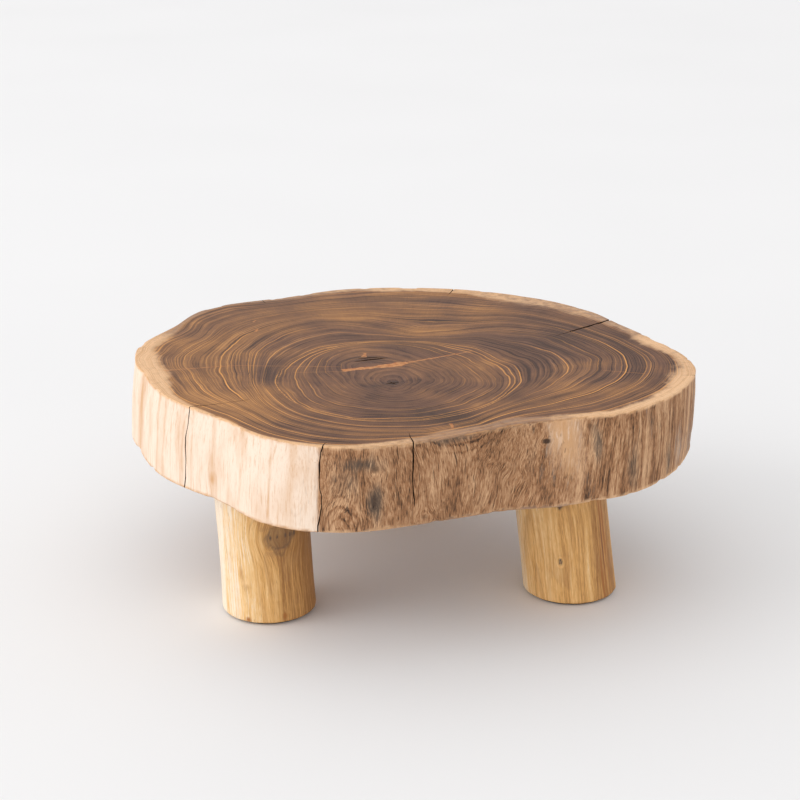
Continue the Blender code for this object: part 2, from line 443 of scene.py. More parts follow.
class Value:
    """What a node's socket carries.  Sums and products of values add the nodes for them."""

    def __init__(self, graph, socket):
        self.graph = graph
        self.socket = socket

    __add__ = formula("ADD")
    __sub__ = formula("SUBTRACT")
    __mul__ = formula("MULTIPLY")
    __truediv__ = formula("DIVIDE")
    __abs__ = formula("ABSOLUTE")
    at_least = formula("MAXIMUM")
    at_most = formula("MINIMUM")
    floor = formula("FLOOR")
    fraction = formula("FRACT")
    sine = formula("SINE")


class Graph:
    """The nodes of a material or world.  Its methods add nodes and return what they work out."""

    def __init__(self, owner):
        owner.use_nodes = True
        self.owner = owner
        self.nodes = owner.node_tree.nodes
        self.links = owner.node_tree.links

    def wire(self, node_name, inputs):
        """Sets or links a node's inputs, given by the name or number of their socket."""
        for name, value in inputs.items():
            socket = self.nodes[node_name].inputs[name]
            if isinstance(value, Value):
                self.links.new(value.socket, socket)
            elif value is not None:
                if socket.type == "RGBA" and len(value) == 3:
                    value = (*value, 1.0)
                socket.default_value = value

    def node(self, kind, inputs, output=0, **settings):
        made = self.nodes.new(kind)
        for name, value in settings.items():
            setattr(made, name, value)
        self.wire(made.name, inputs)
        return Value(self, made.outputs[output])

    def math(self, operation, a, b=None):
        return self.node("ShaderNodeMath", {0: a, 1: b}, operation=operation)

    def vector(self, operation, a, b=None, output="Vector"):
        return self.node("ShaderNodeVectorMath", {0: a, 1: b}, output, operation=operation)

    def dot(self, a, b):
        return self.vector("DOT_PRODUCT", a, b, "Value")

    def scale(self, place, factor):
        return self.node("ShaderNodeVectorMath", {0: place, "Scale": factor}, operation="SCALE")

    def stretch(self, place, z):
        return self.vector("MULTIPLY", place, (1.0, 1.0, z))

    def along_z(self, value):
        return self.node("ShaderNodeCombineXYZ", {"Z": value})

    def attribute(self, name, output="Fac"):
        return self.node("ShaderNodeAttribute", {}, output, attribute_name=name)

    def place(self):
        """The point being shaded, in the row frame, in millimetres."""
        return self.scale(self.node("ShaderNodeTexCoord", {}, "Object"), 1.0 / MM)

    def noise(self, place, size, detail=2.0, roughness=0.5, distortion=0.0, z=None):
        """Noise from about 0.25 to 0.75 with features of the given size, 1 / z times as tall."""
        if z is not None:
            place = self.stretch(place, z)
        inputs = {"Vector": place, "Scale": 1.0 / size, "Detail": detail, "Roughness": roughness,
                  "Distortion": distortion}
        return self.node("ShaderNodeTexNoise", inputs, "Fac")

    def luck(self, number):
        """A random value from 0 to 1 for each whole number."""
        return self.node("ShaderNodeTexWhiteNoise", {"W": number}, "Value", noise_dimensions="1D")

    def between(self, value, low, high, to_low=0.0, to_high=1.0):
        """value carried smoothly from low..high to to_low..to_high, and held there outside."""
        inputs = dict(enumerate((value, low, high, to_low, to_high)))
        return self.node("ShaderNodeMapRange", inputs, interpolation_type="SMOOTHSTEP")

    def mix(self, share, a, b):
        """The colour a where share is 0 and b where it is 1."""
        return self.node("ShaderNodeMix", {0: share, 6: a, 7: b}, 2, data_type="RGBA")

    def tint(self, colour, other, value, low, high, most=1.0):
        """The colour, turned towards another as value goes from low to high."""
        return self.mix(self.between(value, low, high, 0.0, most), colour, other)

    def ramp(self, value, *stops):
        made = self.node("ShaderNodeValToRGB", {0: value})
        elements = made.socket.node.color_ramp.elements
        while len(elements) < len(stops):
            elements.new(0.5)
        for element, (place, colour) in zip(elements, stops):
            element.position = place
            element.color = (*colour, 1.0)
        return made

    def finish(self, colour, roughness, height, depth, specular):
        """Wires the shader.  depth is how deep, in mm, a change of 1 in height is."""
        relief = {"Strength": 1.0, "Distance": depth * MM, "Height": height}
        self.wire("Principled BSDF", {
            "Base Color": colour, "Roughness": roughness, "Specular IOR Level": specular,
            "Normal": self.node("ShaderNodeBump", relief)})
        return self.owner


def blend(share, a, b):
    """The value a where share is 0 and b where it is 1."""
    return a + (b - a) * share


# -------------------- the slab's wood
HEART_DARK = (0.050, 0.022, 0.014)
HEART_MAUVE = (0.160, 0.074, 0.044)
HEART_OLIVE = (0.245, 0.108, 0.040)
HEART_ROSE = (0.340, 0.165, 0.085)
HEART_GOLD = (0.520, 0.245, 0.082)
RING_LINE = (0.840, 0.380, 0.100)
SAP_PALE = (0.880, 0.560, 0.320)
SAP_GREY = (0.430, 0.280, 0.190)
# Dark stains and knots, and also the painted shade in the rim's fissures.
STAIN_AND_FISSURE_SHADE = (0.035, 0.020, 0.015)
GUM = (0.500, 0.170, 0.050)
GUM_PALE = (0.640, 0.290, 0.105)
SIDE_CREAM = (0.865, 0.705, 0.575)
SIDE_TAN = (0.640, 0.380, 0.210)
SIDE_AMBER = (0.600, 0.320, 0.140)
SIDE_BROWN = (0.335, 0.162, 0.076)
SIDE_DARK = (0.060, 0.032, 0.020)
SIDE_FIBRE = (0.700, 0.430, 0.245)
SIDE_GREY = (0.095, 0.070, 0.054)


def streak_mask(g, place, wander, start, end, half_start, half_end, strength):
    """Share of a straight streak at the shaded point, with wandering edges and soft ends."""
    start, end = Vector((*start, 0.0)), Vector((*end, 0.0))
    along = (end - start).normalized()
    across = Vector((-along.y, along.x, 0.0))
    from_start = g.vector("SUBTRACT", place, start)
    t = g.dot(from_start, along) / (end - start).length
    d = abs(g.dot(from_start, across) + wander)
    half = t * (half_end - half_start) + half_start
    inside = g.between(half - d, -0.3, 0.2)
    return inside * g.between(t, -0.03, 0.03) * g.between(t, 1.03, 0.97) * strength


def end_grain(g, place):
    """Colour, roughness and height (mm) of sawn and sanded end grain."""
    flat = g.stretch(place, 0.0)
    aim = g.vector("NORMALIZE", g.vector("SUBTRACT", flat, (*PITH, 0.0)))

    def ringwise(turn, run, *style):
        """Noise drawn out along the rings: turn is how often it changes, run grows outwards."""
        return g.noise(g.vector("ADD", g.scale(aim, turn), g.along_z(run)), 1.0, *style)

    ring = g.attribute("ring") + (g.noise(flat, 24.0) - 0.5) * 0.40
    ring += (g.noise(flat, 3.5) - 0.5) * 0.06
    on_oval = g.between(abs(ring - RINGS_TO_OVAL), 0.6, 0.3)
    ring += (g.noise(g.along_z(ring * 0.6), 1.0, 1.0) - 0.5) * 1.5

    # Growth lines at whole and half rings, each with its own luck along its length.
    doubled = ring * 2.0
    number = (doubled + 0.5).floor()
    offset = (doubled - number) * (g.attribute("pitch") * 0.5)
    chance = g.luck(number)
    fade = g.between(ringwise(1.6, number * 7.31, 3.0), 0.36, 0.56, 0.25, 1.0)
    strength = g.between(chance, 0.25, 1.0, 0.06, 1.0) * g.attribute("lines")
    strength = strength.at_least(on_oval * 0.62) * fade
    fleck = g.noise(flat, 0.40, 2.0, 0.65)
    half = chance * 0.12 + 0.20 + on_oval * 0.20
    line = g.between(abs(offset) / half, 1.5, 0.2) * strength
    line *= g.between(fleck, 0.28, 0.55, 0.6, 1.15)

    # Heartwood: dark and light bands, fine striae and stripes, and faint rays.
    bands = ringwise(1.5, ring * 0.9, 3.0, 0.6)
    striae = ringwise(2.2, ring * 8.0, 3.0, 0.65)
    rays = ringwise(230.0, ring * 0.7, 2.0)
    zone = g.attribute("gold") + (g.noise(flat, 30.0, 3.0) - 0.5) * 0.7
    stripe = (g.luck((ring * 6.0).floor()) - 0.5) * fade
    tone = (zone - 0.5) * 0.8 + 0.51 + (bands - 0.5) * 0.60
    tone += (striae - 0.5) * g.between(ring, 3.0, 15.0, 0.6, 1.55)
    tone += g.between(offset, 1.6, 0.2, 0.0, 0.07)
    tone += g.between(offset, -1.3, -0.2, 0.0, -0.15)
    tone += stripe * g.between(ring, 7.0, 15.0, 0.1, 0.42)
    tone += g.attribute("sap") * 0.35
    tone += (rays - 0.5) * 0.25 + (fleck - 0.5) * 0.70
    middle = g.tint(HEART_MAUVE, HEART_OLIVE, zone, 0.30, 0.80)
    light = g.tint(HEART_ROSE, HEART_GOLD, zone, 0.25, 0.75)
    colour = g.tint(HEART_DARK, middle, tone, 0.05, 0.50)
    colour = g.tint(colour, light, tone, 0.45, 1.05)
    colour = g.mix(line.at_most(1.0), colour, RING_LINE)

    # Sapwood, with a ragged inner edge.
    grey = g.attribute("grey")
    blotch = g.noise(flat, 5.0, 4.0, 0.68)
    mottle = grey + (g.noise(flat, 6.0, 4.0, 0.65) - 0.5) * 1.6
    pale = g.tint(SAP_PALE, SAP_GREY, mottle, 0.25, 0.85)
    pale = g.tint(pale, HEART_GOLD, striae, 0.42, 0.66, 0.55)
    pale = g.mix(g.between(blotch, 0.48, 0.66) * (grey * 0.5 + 0.12), pale, HEART_OLIVE)
    pale = g.tint(pale, HEART_MAUVE, fleck, 0.50, 0.75, 0.35)
    ragged = g.attribute("sap") + (blotch - 0.5) * 1.2 + (striae - 0.5) * 0.7
    colour = g.mix(g.between(ragged, 0.15, 1.0) * (grey * -0.35 + 1.0), colour, pale)

    # Stains, and old cracks filled with gum.
    dark = g.attribute("dark") * g.between(g.noise(flat, 5.0, 4.0), 0.3, 0.6, 0.5, 1.0)
    colour = g.mix(dark, colour, STAIN_AND_FISSURE_SHADE)
    wander = (g.noise(flat, 4.0, 3.0) - 0.5) * g.attribute("wander")
    gum = 0.0
    for check in FILLED_CHECKS:
        gum = streak_mask(g, flat, wander, *check).at_least(gum)
    gum *= g.between(fleck, 0.28, 0.6, 0.6, 1.0)
    lump = g.between(g.noise(flat, 2.6, 3.0), 0.35, 0.62)
    colour = g.mix(gum, colour, g.mix(lump, GUM, GUM_PALE))

    # Saw marks on the underside.
    sawn = g.between(g.attribute("under"), 0.4, 0.6)
    kerf = (g.dot(flat, (0.91, 0.41, 0.0)) * 2.1).sine() * g.noise(flat, 22.0)
    colour = g.mix(sawn * (kerf * 0.12 + 0.22), colour, SAP_GREY)
    height = line * -0.03 + fleck * 0.05 + rays * 0.03 + sawn * kerf * 0.08
    return colour, fleck * 0.25 + 0.46, height


def long_grain(g):
    """Colour, roughness and height (mm) of the weathered rim, where the fibre stands upright."""
    grain = g.attribute("grain", "Vector")
    rough = g.attribute("rough")
    broad = g.noise(grain, 7.0, 3.0, z=0.22)
    streak = g.noise(grain, 1.6, 4.0, 0.62, z=0.035)
    fibre = g.noise(grain, 0.45, 2.0, 0.6, z=0.11)
    torn = g.noise(grain, 0.7, 3.0, 0.66, z=0.13)
    wave = g.noise(grain, 5.5, distortion=1.0, z=0.65)
    stripe = g.noise(grain, 5.0, z=0.05)
    vein = g.noise(grain, 1.1, 4.0, 0.65, z=0.015)
    cloud = g.noise(grain, 10.0, 3.0, z=0.35)

    # Sound sapwood, cream with tan bands.
    cream = g.tint(SIDE_CREAM, SIDE_TAN, cloud, 0.42, 0.72, 0.35)
    cream = g.tint(cream, SIDE_TAN, vein, 0.50, 0.70, 0.60)
    cream = g.tint(cream, SIDE_TAN, fibre, 0.50, 0.8, 0.40)
    band = g.attribute("tan") * g.between(streak, 0.3, 0.55, 0.45, 1.0)
    cream = g.mix(band, cream, SIDE_AMBER)

    # Weathered brown fibre, upright or interlocked, with nested arches and grey patches.
    interlocked = (torn - 0.5) * 0.9 + (wave - 0.5) * 0.4
    upright = (streak - 0.5) * 1.5 + (stripe - 0.5) * 1.6
    arches = g.attribute("arches") + (torn - 0.5) * 0.25
    arch = g.between(abs((arches * 3.8).fraction() - 0.5), 0.22, 0.05)
    arch *= g.between(arches, 1.5, 0.9)
    shade = (broad - 0.5) * 0.9 + 0.5 + (fibre - 0.5) * 1.15
    shade += blend(g.attribute("curl"), upright, interlocked)
    shade += arch * -0.22
    brown = g.ramp(shade, (0.08, SIDE_DARK), (0.42, SIDE_BROWN), (0.95, SIDE_FIBRE))
    grey = g.attribute("grey") + (torn - 0.5) * -1.1 + (fibre - 0.5) * -0.7 + (broad - 0.5) * 0.9
    brown = g.tint(brown, SIDE_GREY, grey, 0.15, 1.0, 0.88)

    # The two together, with fissures darkened by painted shade, and dark knots.
    share = g.attribute("worn") + (broad - 0.5) * 0.7 + (streak - 0.5) * 0.7
    cream = g.mix(arch * 0.15, cream, SIDE_TAN)
    colour = g.tint(cream, brown, share, 0.25, 0.75)
    # Painted shade: the fissures are shallow grooves in the bump, coloured near black as the shade in
    # them would look.
    fissure_shade = g.between(g.noise(grain, 0.8, z=0.05), 0.64, 0.70) * rough * 0.75
    colour = g.mix(fissure_shade, colour, STAIN_AND_FISSURE_SHADE)
    knot = g.attribute("dark") + (torn - 0.5) * 0.3
    colour = g.tint(colour, STAIN_AND_FISSURE_SHADE, knot, 0.30, 0.85, 0.88)
    height = (torn * 0.35 + fibre * 0.22) * (rough * 0.85 + 0.15) + fissure_shade * -0.35
    return colour, fibre * 0.25 + 0.60, height


def slab_material():
    g = Graph(bpy.data.materials.new("slab_wood"))
    face_colour, face_roughness, face_height = end_grain(g, g.place())
    side_colour, side_roughness, side_height = long_grain(g)
    side = g.attribute("side")
    return g.finish(g.mix(side, face_colour, side_colour),
                    blend(side, face_roughness, side_roughness),
                    blend(side, face_height, side_height), depth=1.0, specular=0.18)


# Painted shade: the walls of the cracks and slits are coloured near black, standing for the shade
# deep inside them.
def crack_shade_material():
    g = Graph(bpy.data.materials.new("crack_wall_painted_shade"))
    fibre = g.noise(g.place(), 0.6, 3.0, z=0.15)
    colour = g.ramp(fibre, (0.3, (0.020, 0.011, 0.008)), (0.7, (0.085, 0.045, 0.026)))
    return g.finish(colour, 0.9, fibre, depth=0.2, specular=0.2)


# -------------------- the slab
CRACK_LEVELS = 19               # rows in a crack's cutter
CRACK_STEPS = 16                # points along either side of a row
CRACK_OUTSIDE = 6.0             # mm that the cutter stands out of the rim
SLIT_STEPS = 13


class SlabOutline:
    """The rim as the CAD has it: its distance from the pith in each direction and height."""

    COLUMNS = 720
    LEVELS = 5

    def __init__(self):
        self.low, self.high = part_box("slab")
        tree = cad_tree("slab")
        self.pith = PITH * MM
        dense = np.linspace(0.0, tau, 2 * self.COLUMNS, endpoint=False)
        middle = (self.low.z + self.high.z) / 2.0
        reach = ring_mean(outside_reach(tree, self.pith, dense, middle), 10)
        x, y = reach * np.cos(dense), reach * np.sin(dense)
        steps = np.hypot(np.roll(x, -1) - x, np.roll(y, -1) - y)
        run = np.concatenate([[0.0], np.cumsum(steps)])
        wanted = np.arange(self.COLUMNS) * run[-1] / self.COLUMNS
        self.angles = np.interp(wanted, run, np.concatenate([dense, [tau]]))
        self.out = heading(self.angles)
        self.heights = np.linspace(self.low.z + MARGIN, self.high.z - MARGIN, self.LEVELS)
        self.reach = np.array([ring_mean(outside_reach(tree, self.pith, self.angles, z), 4)
                               for z in self.heights])
        self.middle_reach = self.reach[self.LEVELS // 2]

    def plan(self, reach):
        """The points, in plan, that lie reach from the pith in each column."""
        return self.pith + self.out * reach[:, None]

    def at_height(self, reach, z):
        """reach has a row for each level.  Returns what each column comes to at its own z."""
        place = (z - self.heights[0]) / (self.heights[-1] - self.heights[0])
        place = np.clip(place, 0.0, 1.0) * (self.LEVELS - 1)
        below = np.minimum(place.astype(int), self.LEVELS - 2)
        columns = np.arange(len(below))
        share = place - below
        return reach[below, columns] * (1.0 - share) + reach[below + 1, columns] * share

    def rim(self, degrees, z):
        """The rim's distance from the pith, in mm, at any angles and heights."""
        turned = np.mod(np.radians(degrees), tau)
        rows = np.array([np.interp(turned, self.angles, r, period=tau) for r in self.reach])
        return self.at_height(rows, z) / MM

    def rim_point(self, column, z):
        reach = self.at_height(self.reach[:, column:column + 1], np.array([z]))
        return self.pith + self.out[column] * reach

    def nearest_column(self, degrees):
        """The column whose rim point is seen at that angle from the slab's middle."""
        seen, _ = polar(self.plan(self.middle_reach))
        return int(np.argmin(np.abs(turn_between(seen, degrees))))


def oval_reach(degrees):
    """Distance from the pith to the oval guide ring, in each direction."""
    aim = heading(np.radians(degrees)) / OVAL_SIZE
    start = (PITH - OVAL_CENTRE) / OVAL_SIZE
    a = (aim * aim).sum(-1)
    b = (aim * start).sum(-1)
    c = (start * start).sum() - 1.0
    return (-b + np.sqrt(b * b - a * c)) / a


def growth_rings(mm, outline):
    """Ring number, mm per ring and distance in from the rim, at rows of x, y, z in mm."""
    degrees, r = polar(mm[:, :2] - PITH)
    rim = outline.rim(degrees, mm[:, 2] * MM)
    lobed = np.minimum(around(LOBED_RING, degrees), rim - OUTER_GAP)
    oval = np.minimum(oval_reach(degrees), lobed - GUIDE_GAP)
    core = np.minimum(around(CORE_RING, degrees), oval - GUIDE_GAP)
    guides = ((0.0 * core, 0.0), (core, RINGS_TO_CORE), (oval, RINGS_TO_OVAL),
              (lobed, RINGS_TO_LOBED), (rim, RINGS_IN_ALL))
    number, pitch = np.zeros(len(r)), np.ones(len(r))
    for (near, near_number), (far, far_number) in zip(guides, guides[1:]):
        here = r >= near
        pitch = np.where(here, (far - near) / (far_number - near_number), pitch)
        number = np.where(here, near_number + (r - near) / pitch, number)
    return number, pitch, rim - r


def side_rows(outline):
    """Closed rows of points from the underside's edge up to the top face's edge."""
    flat = lift(outline.plan(outline.middle_reach), 0.0) / MM
    easing = 0.9 + 0.4 * fractal(flat, 14.0, 3, 41)
    easing += 1.6 * smoothstep(0.3, 0.9, fractal(flat, 9.0, 2, 43))
    easing = np.clip(easing, 0.5, 2.6) * MM
    low, high = outline.low.z, outline.high.z
    turns = np.linspace(0.0, pi / 2.0, 5)
    rows = [(easing * (1.0 - sin(a)), low + easing * (1.0 - cos(a))) for a in turns]
    for share in np.linspace(0.0, 1.0, 35)[1:-1]:
        rows.append((0.0 * easing, low + easing + share * (high - low - 2.0 * easing)))
    rows += [(easing * (1.0 - cos(a)), high - easing * (1.0 - sin(a))) for a in turns]
    made = []
    for inset, z in rows:
        reach = outline.at_height(outline.reach, z) - inset
        made.append(np.column_stack([outline.plan(reach), z]))
    return np.array(made)


def grain_place(mm, up):
    """Where the rim's grain patterns are read: the point, slid along the rim so that the fibre
    slants, waves and parts round the knots."""
    degrees, reach = polar(mm)
    slide = -around(SLANT, degrees) * (up - 20.0)
    slide += parting(degrees, up, reach, SIDE_KNOTS)
    slide += 1.4 * fractal(mm * (1, 1, 0.6), 12.0, 2, 61) * around(ROUGH, degrees)
    across = heading(np.radians(degrees))[:, ::-1] * (-1.0, 1.0)
    moved = mm.copy()
    moved[:, :2] += across * slide[:, None]
    return moved


def roughen(rows, outline):
    """Sinks grooves, torn fibre and hollows into the rim, less so towards its eased edges."""
    mm = rows.reshape(-1, 3) / MM
    degrees, _ = polar(mm)
    up = mm[:, 2] - outline.low.z / MM
    down = outline.high.z / MM - mm[:, 2]
    rough = np.clip(around(ROUGH, degrees + 1.5 * fractal(mm, 12.0, 2, 5)), 0.0, 1.0)
    grain = grain_place(mm, up)
    groove = 0.5 + 0.5 * fractal(grain * (1, 1, 0.10), 2.6, 3, 11)
    tear = smoothstep(0.1, 0.8, np.abs(fractal(grain * (1, 1, 0.35), 4.0, 3, 21)))
    hollow = 0.5 + 0.5 * fractal(mm * (1, 1, 0.35), 17.0, 3, 31)
    sink = 0.4 * hollow + rough * (0.35 * groove + 0.45 * tear) + (1.0 - rough) * 0.12 * groove
    sink *= 0.3 + 0.7 * smoothstep(0.0, 1.5, up) * smoothstep(0.0, 1.5, down)
    across = np.roll(rows, -1, axis=1) - np.roll(rows, 1, axis=1)
    normal = np.stack([across[..., 1], -across[..., 0]], axis=-1)
    normal /= np.linalg.norm(normal, axis=-1, keepdims=True)
    moved = rows.copy()
    moved[..., :2] -= normal * sink.reshape(rows.shape[:2] + (1,)) * MM
    return moved


def face_points(rim, rim_numbers, outline, first_step, last_step, next_number, upwards):
    """Points and faces that close one face: rings round the pith, with half as many points
    wherever they would crowd.  The rings' steps, in mm, grow from the rim to the pith."""
    reach = np.mean(polar(rim[:, :2] - outline.pith)[1])
    centre = np.array([*outline.pith, rim[0, 2]])
    points, faces = [], []
    row, share = list(rim_numbers), 1.0
    while True:
        step = first_step + (last_step - first_step) * (1.0 - share)
        share -= step * MM / reach
        if share * reach < last_step * MM:
            break
        halve = len(row) % 2 == 0 and share * len(rim) < 0.62 * len(row)
        count = len(row) // 2 if halve else len(row)
        numbers = list(range(next_number, next_number + count))
        next_number += count
        points.extend(centre + (rim[::len(rim) // count] - centre) * share)
        faces += halving_strip(row, numbers) if halve else strip(row, numbers)
        row = numbers
    points.append(centre)
    faces += [(row[k], row[(k + 1) % len(row)], next_number) for k in range(len(row))]
    if not upwards:
        faces = [tuple(reversed(f)) for f in faces]
    return points, faces


def slab_body(outline):
    rows = roughen(side_rows(outline), outline)
    points, faces = wall(rows)
    bottom = range(outline.COLUMNS)
    top = range(len(points) - outline.COLUMNS, len(points))
    for rim, numbers, steps, upwards in ((rows[-1], top, (1.3, 2.8), True),
                                         (rows[0], bottom, (2.4, 5.0), False)):
        more, more_faces = face_points(rim, numbers, outline, *steps, len(points), upwards)
        points += more
        faces += more_faces
    return new_mesh("slab_body", points, faces, material_slots=2)


def rim_crack(outline, number, degrees, runs, width):
    """A wedge that opens a drying crack from the rim towards the pith."""
    column = outline.nearest_column(degrees)
    inward = -outline.out[column]
    across = np.array([-inward[1], inward[0]])
    low, high = outline.low.z, outline.high.z
    rows = []
    for share in np.linspace(-0.04, 1.04, CRACK_LEVELS):
        z = low + share * (high - low)
        run = np.interp(share, (0.0, 0.5, 0.85, 1.0), (runs[0], runs[1], runs[1] * 1.3, runs[2]))
        depth = np.linspace(-CRACK_OUTSIDE, max(run, 1.0 - CRACK_OUTSIDE), CRACK_STEPS)
        at = np.column_stack([depth, 0.0 * depth + share * 40.0, 0.0 * depth + number * 9.1])
        sway = fractal(at, 11.0, 3, 201) * 0.9 + fractal(at * (0.0, 1.0, 1.0), 12.0, 4, 205)
        half = 0.5 * width * np.clip(1.0 - depth / max(run, 0.1), 0.0, 1.0) ** 0.6
        half = half * (1.0 + 0.6 * fractal(at, 5.0, 3, 209)) + 0.01
        middle = outline.rim_point(column, z) + np.outer(depth * MM, inward)
        left = middle + np.outer((sway + half) * MM, across)
        right = middle + np.outer((sway - half) * MM, across)
        ring = np.vstack([right, left[::-1]])
        rows.append(lift(ring, z))
    return lathe(rows)


def heart_slit(outline, start, end, width, depth):
    """A lens-shaped opening in the top face, closing downwards."""
    start, end = np.array(start), np.array(end)
    along = (end - start) / np.linalg.norm(end - start)
    across = np.array([-along[1], along[0]])
    t = np.linspace(0.0, 1.0, SLIT_STEPS)
    sway = 0.35 * fractal(np.column_stack([t * 9.0, t * 0.0, t * 0.0]), 2.2, 2, 231)
    middle = start + np.outer(t, end - start) + np.outer(sway, across)
    rows = []
    for share in (-1.0, -0.5, 0.0, 0.4):
        half = 0.5 * width * np.sin(pi * t) ** 0.7 * min(1.0, 1.15 + share) + 0.01
        ring = np.vstack([middle - np.outer(half, across), (middle + np.outer(half, across))[::-1]])
        rows.append(lift(ring, outline.high.z / MM + share * depth) * MM)
    return lathe(rows)


def socket_drill(name):
    """The hole for one dowel, round and with the drill's cone at its end, in the underside."""
    low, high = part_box("dowel_" + name)
    radius = (high.x - low.x) / 2.0 + SOCKET_GAP
    top = high.z + SOCKET_SPARE
    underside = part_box("slab")[0].z
    turns = np.linspace(0.0, tau, 96, endpoint=False)
    levels = ((radius, underside - 2 * MM), (radius, top - 1 * MM), (0.1 * radius, top))
    return lathe([circle((low + high) / 2.0, r, z, turns) for r, z in levels])


def carve(body, cutters):
    """The body with every cutter taken away, as a new mesh."""
    carved = add_object("carved", body)
    helpers = []
    for i, (points, faces, face_slot) in enumerate(cutters):
        mesh = new_mesh(f"cutter_{i}", points, faces, material_slots=2, face_slot=face_slot)
        helpers.append(add_object(f"cutter_{i}", mesh))
        cut = carved.modifiers.new(f"cut_{i}", "BOOLEAN")
        cut.operation = "DIFFERENCE"
        cut.solver = "MANIFOLD"
        cut.object = helpers[-1]
    bpy.context.view_layer.update()
    depsgraph = bpy.context.evaluated_depsgraph_get()
    mesh = bpy.data.meshes.new_from_object(carved.evaluated_get(depsgraph))
    for extra in (carved, *helpers):
        bpy.data.objects.remove(extra, do_unlink=True)
    return mesh


def face_spots(x, y, rows):
    """What each soft round spot on a face comes to."""
    return [gain * bell((x - centre_x) / half_x, (y - centre_y) / half_y)
            for centre_x, centre_y, half_x, half_y, gain in rows]


def slab_fields(mesh, outline):
    """Stores what the slab's material reads."""
    mm = np.zeros(len(mesh.vertices) * 3)
    mesh.vertices.foreach_get("co", mm)
    mm = mm.reshape(-1, 3) / MM
    x, y, z = mm.T
    degrees, reach = polar(mm)
    up, down = z - outline.low.z / MM, outline.high.z / MM - z
    flat = mm * (1.0, 1.0, 0.0)
    number, pitch, inward = growth_rings(mm, outline)
    _, from_pith = polar(mm[:, :2] - PITH)
    settled = smoothstep(4.0, 30.0, from_pith)
    number += settled * (0.5 * fractal(flat, 40.0, 2, 71) + 0.15 * fractal(flat, 13.0, 2, 73))
    sap_width = around(SAPWOOD_WIDTH, degrees) * (1.0 + 0.30 * fractal(flat, 17.0, 3, 81))
    side = smoothstep(0.4, 1.5, np.minimum(up, down) + 0.5 * fractal(mm, 2.5, 2, 91))
    turned = degrees + 0.4 * fractal(mm * (1, 1, 0.4), 6.0, 3, 101)
    bands = patches(degrees, up, reach, TAN_SPOTS)
    for centre, half_width, strength in TAN_BANDS:
        bands = np.maximum(bands, strength * bell(turn_between(turned, centre) / half_width, 0.0))
    arches = [np.hypot(*in_patch(degrees, up, reach, row)) for row in SIDE_ARCHES]
    on_side = side > 0.5
    store(mesh,
          ring=number, pitch=pitch, side=side, tan=bands,
          gold=GOLD_ELSEWHERE + sum(face_spots(x, y, GOLD_ZONES)),
          sap=smoothstep(1.5, 0.5, inward / np.maximum(sap_width, 0.5)),
          under=smoothstep(12.0, 6.0, up),
          worn=np.clip(around(WORN, turned) - patches(turned, up, reach, PALE_PATCHES), 0.0, 1.0),
          rough=np.clip(around(ROUGH, turned), 0.0, 1.0),
          curl=np.clip(around(CURL, turned), 0.0, 1.0),
          lines=((1.0 - 0.6 * smoothstep(0.0, 80.0, y))
                 * (0.1 + 0.9 * smoothstep(5.0, 90.0, from_pith))),
          wander=1.2 + 3.4 * bell((x + 20.0) / 22.0, 0.0),
          grain=grain_place(mm, up),
          arches=np.minimum(np.min(arches, axis=0), 9.0),
          grey=np.where(on_side, patches(degrees, up, reach, GREY_PATCHES),
                        np.clip(around(SAPWOOD_GREY, degrees), 0.0, 1.0)),
          dark=np.where(on_side, patches(degrees, up, reach, SIDE_KNOTS),
                        np.max(face_spots(x, y, FACE_STAINS), axis=0)))


def build_slab():
    outline = SlabOutline()
    cutters = []
    # Cracks and slits take the second slot, whose near-black colour is painted shade for their
    # insides.
    for number, crack in enumerate(CRACKS):
        cutters.append((*rim_crack(outline, number, *crack), 1))
    for slit in HEART_SLITS:
        cutters.append((*heart_slit(outline, *slit), 1))
    for name in LEG_NAMES:
        cutters.append((*socket_drill(name), 0))
    mesh = carve(slab_body(outline), cutters)
    mesh.name = "live_edge_slab"
    slab_fields(mesh, outline)
    add_piece("live_edge_slab", mesh, "slab", (slab_material(), crack_shade_material()))


# -------------------- the legs
LEG_COLUMNS = 320
LEG_LEVELS = 70                 # rows up the side
FOOT_EASE = 1.5 * MM            # radius of the eased edge round the foot
HEAD_EASE = 0.6 * MM
LEG_SUNK = 0.3                  # mm that the side is sunk, so that its bumps fit in the CAD's box
LEG_CREAM = (0.900, 0.760, 0.600)
LEG_PALE = (0.860, 0.570, 0.270)
LEG_GOLD = (0.720, 0.395, 0.130)
LEG_BROWN = (0.350, 0.155, 0.042)
LEG_LINE = (0.400, 0.200, 0.078)
LEG_KNOT = (0.130, 0.075, 0.045)
LEG_STAIN = (0.400, 0.150, 0.035)


